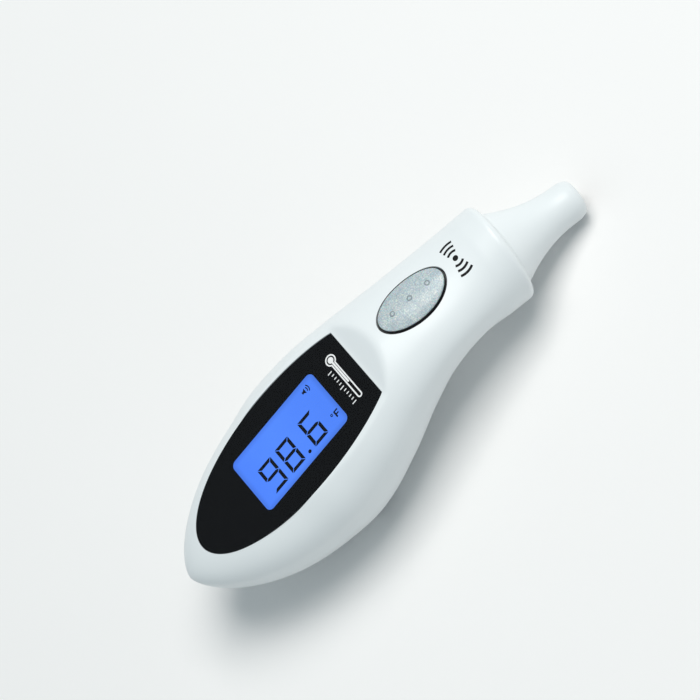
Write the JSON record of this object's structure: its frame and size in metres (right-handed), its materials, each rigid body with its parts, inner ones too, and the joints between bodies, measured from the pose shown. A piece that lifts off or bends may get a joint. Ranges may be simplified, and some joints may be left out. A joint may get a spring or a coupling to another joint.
{
  "type": "digital ear thermometer",
  "caption": "Hand-held infrared ear thermometer: leaf-shaped body with a lit display window, an oval push button on the neck and a flared ear probe.",
  "frame": {"origin": "middle of the bounding box, on the table plane that the thermometer lies on with its back down", "axes": "+Y from the base end to the probe, +Z out of the display (which leans about one degree), +X to the right seen from the display with the probe up"},
  "size_m": [0.042, 0.1242, 0.0305],
  "materials": {
    "shell_white": "satin gloss moulded plastic",
    "window_clear": "clear glossy cover",
    "surround_black": "black print behind the cover",
    "display_blue": "lit blue liquid crystal display",
    "guide_clear": "frosted light guide",
    "moulded_white": "matt moulded plastic",
    "moulded_dark": "dark moulded plastic",
    "rubber_grey": "silicone rubber",
    "lamp_white": "lamp package",
    "board_green": "green circuit board",
    "chip_black": "chip package",
    "button_grey": "frosted soft grey",
    "lens_dark": "dark infrared window",
    "brass": "turned",
    "gold_plate": "gold plated",
    "flex_amber": "amber film",
    "steel": "plated steel"
  },
  "bodies": {
    "housing": {"front_shell": "shell_white", "rear_shell": "shell_white", "coin_cell": "steel", "battery_holder": "moulded_dark", "contact_minus": "gold_plate", "contact_plus": "gold_plate", "display_window": "window_clear", "display_surround": "surround_black", "display_glass": "display_blue", "backlight_guide": "guide_clear", "display_holder": "moulded_white", "elastomer_strip": "rubber_grey", "backlight_lamp_left": "lamp_white", "backlight_lamp_right": "lamp_white", "main_board": "board_green", "controller_chip": "chip_black", "amplifier_chip": "chip_black", "buzzer": "moulded_dark", "switch_body": "moulded_dark", "probe_nozzle": "shell_white", "probe_seal": "rubber_grey", "probe_lens": "lens_dark", "lens_ring": "brass", "wave_guide": "gold_plate", "sensor_holder": "brass", "sensor_can": "steel", "sensor_board": "board_green", "sensor_flex": "flex_amber", "shell_screw_1": "steel", "shell_screw_2": "steel", "shell_screw_3": "steel", "board_screw_1": "steel", "board_screw_2": "steel"},
    "button": {"scan_button": "button_grey"},
    "switch_actuator": {"switch_plunger": "moulded_white"},
    "battery_cover": {"battery_door": "shell_white", "battery_door_screw": "steel"}
  },
  "joints": [
    {"name": "button_press", "type": "slide", "parent": "housing", "child": "button", "axis": [0, -0.2512, -0.9679], "range_m": [0, 0.0006], "stiffness_N_per_m": 1500},
    {"name": "switch_press", "type": "slide", "parent": "housing", "child": "switch_actuator", "axis": [0, 0.0183, -0.9998], "range_m": [0, 0.00065]},
    {"name": "cover_off", "type": "slide", "parent": "housing", "child": "battery_cover", "axis": [0, 0.0183, -0.9998], "range_m": [0, 0.012]}
  ],
  "couplings": [
    {"joint": "switch_press", "follows": "button_press", "ratio": 0.963}
  ]
}
